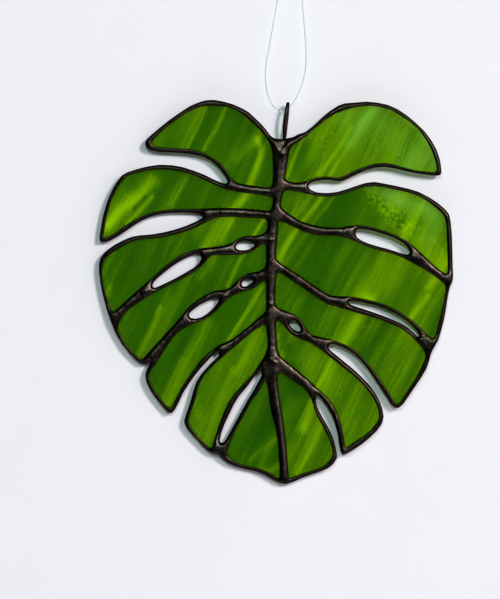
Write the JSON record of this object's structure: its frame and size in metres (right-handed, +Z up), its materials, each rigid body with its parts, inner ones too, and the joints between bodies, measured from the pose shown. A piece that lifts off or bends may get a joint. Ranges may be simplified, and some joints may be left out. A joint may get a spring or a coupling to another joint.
{
  "type": "stained glass leaf suncatcher",
  "caption": "Monstera leaf of streaky green glass panes in a dark soldered outline with open slots, hung from a wire eye on a clear loop of line.",
  "frame": {"origin": "top of the line's loop, where it hangs over a pin; the leaf is below it", "axes": "+Z up along the leaf's height as it hangs, +X to the right seen from the front, -Y out of the leaf's front face"},
  "size_m": [0.1774, 0.0068, 0.2813],
  "materials": {
    "streaky_green_glass": "streaky rolled art glass, gloss, slightly rippled",
    "copper_foil": "bright adhesive copper foil, hidden under the solder",
    "black_patina_solder": "rounded solder bead with a black-brown patina, satin",
    "patina_wire": "tinned copper wire with a black-brown patina, satin",
    "clear_nylon": "clear monofilament"
  },
  "bodies": {
    "root": {"glass_left_1": "streaky_green_glass", "glass_left_2": "streaky_green_glass", "glass_left_3": "streaky_green_glass", "glass_left_4": "streaky_green_glass", "glass_left_5": "streaky_green_glass", "glass_left_6": "streaky_green_glass", "glass_left_7": "streaky_green_glass", "glass_right_1": "streaky_green_glass", "glass_right_2": "streaky_green_glass", "glass_right_3": "streaky_green_glass", "glass_right_4": "streaky_green_glass", "glass_right_5": "streaky_green_glass", "glass_right_6": "streaky_green_glass", "foil_left_1": "copper_foil", "foil_left_2": "copper_foil", "foil_left_3": "copper_foil", "foil_left_4": "copper_foil", "foil_left_5": "copper_foil", "foil_left_6": "copper_foil", "foil_left_7": "copper_foil", "foil_right_1": "copper_foil", "foil_right_2": "copper_foil", "foil_right_3": "copper_foil", "foil_right_4": "copper_foil", "foil_right_5": "copper_foil", "foil_right_6": "copper_foil", "solder_network": "black_patina_solder", "wire_eye": "patina_wire", "hanging_line": "clear_nylon", "line_knot": "clear_nylon"}
  },
  "joints": []
}
